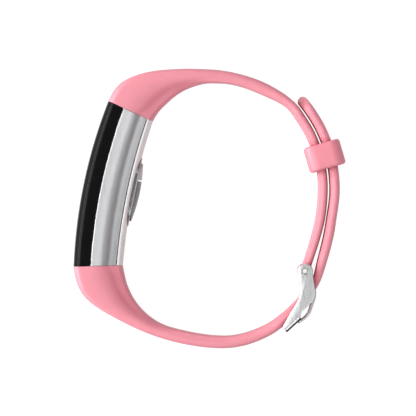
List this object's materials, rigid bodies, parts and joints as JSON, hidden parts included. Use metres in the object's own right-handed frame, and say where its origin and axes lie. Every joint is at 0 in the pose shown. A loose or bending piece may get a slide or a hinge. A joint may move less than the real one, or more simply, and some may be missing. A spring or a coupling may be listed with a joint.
{
  "type": "fitness tracker band",
  "caption": "Slim fitness tracker capsule on a buckled elastomer wrist band with tang buckle and sliding keeper loop.",
  "frame": {"origin": "centre of the bottom of the bounding box, with the band lying on its side", "axes": "+Z along the wrist that the band goes round, +X from the tracker capsule to the buckle and keeper, +Y towards the end of the capsule that the short strap leaves"},
  "size_m": [0.0678, 0.0698, 0.0195],
  "materials": {
    "strap_elastomer": "satin moulded, fine matt grain",
    "keeper_elastomer": "satin moulded",
    "cover_black": "polished",
    "housing_silver": "satin silver",
    "rear_cover_light": "satin",
    "sensor_bezel_grey": "dark mirror",
    "sensor_window_dark": "polished, fine lens pattern",
    "buckle_steel": "satin with bright edges",
    "gasket_black": "matt",
    "board_green": "solder mask",
    "chip_black": "matt",
    "tin": "plated",
    "battery_foil": "foil",
    "contact_gold": "gold plated",
    "display_glass": "polished",
    "flex_amber": "film",
    "led_green": "clear coat",
    "insert_nylon": "moulded",
    "foam_grey": "foam"
  },
  "bodies": {
    "band": {"front_cover": "cover_black", "cover_gasket": "gasket_black", "display_panel": "display_glass", "display_flex": "flex_amber", "touch_key_electrode": "contact_gold", "housing_frame": "housing_silver", "rear_cover": "rear_cover_light", "rear_cover_seal": "gasket_black", "sensor_bezel": "sensor_bezel_grey", "sensor_cap": "rear_cover_light", "sensor_window": "sensor_window_dark", "sensor_board": "board_green", "green_led_1": "led_green", "green_led_2": "led_green", "photodiode": "chip_black", "main_board": "board_green", "processor_chip": "chip_black", "radio_shield_can": "tin", "accelerometer_chip": "chip_black", "antenna_strip": "contact_gold", "battery": "battery_foil", "battery_foam": "foam_grey", "motor_case": "tin", "charging_contact_1": "contact_gold", "charging_contact_2": "contact_gold", "rear_cover_screw_1": "tin", "rear_cover_screw_2": "tin", "upper_strap_insert": "insert_nylon", "lower_strap_insert": "insert_nylon", "upper_insert_screw": "tin", "lower_insert_screw": "tin", "upper_strap": "strap_elastomer", "lower_strap": "strap_elastomer"},
    "keeper": {"keeper_loop": "keeper_elastomer"},
    "buckle": {"buckle_frame": "buckle_steel", "buckle_pin": "buckle_steel"},
    "tongue": {"buckle_tongue": "buckle_steel"},
    "motor_rotor": {"motor_shaft": "tin", "motor_weight": "tin"}
  },
  "joints": [
    {"name": "keeper_slide", "type": "hinge", "parent": "band", "child": "keeper", "pos_m": [-0.00234, 0.00494, 0.00975], "axis": [0, 0, 1], "range_deg": [-14, 12]},
    {"name": "buckle_swing", "type": "hinge", "parent": "band", "child": "buckle", "pos_m": [0.02393, -0.01566, 0.00975], "axis": [0, 0, 1], "range_deg": [0, 4]},
    {"name": "tongue_swing", "type": "hinge", "parent": "buckle", "child": "tongue", "pos_m": [0.02393, -0.01566, 0.00975], "axis": [0, 0, 1], "range_deg": [0, 3]},
    {"name": "motor_spin", "type": "hinge", "parent": "band", "child": "motor_rotor", "pos_m": [-0.0213, 0.01588, 0.00975], "axis": [0, 0, 1], "continuous": true}
  ]
}
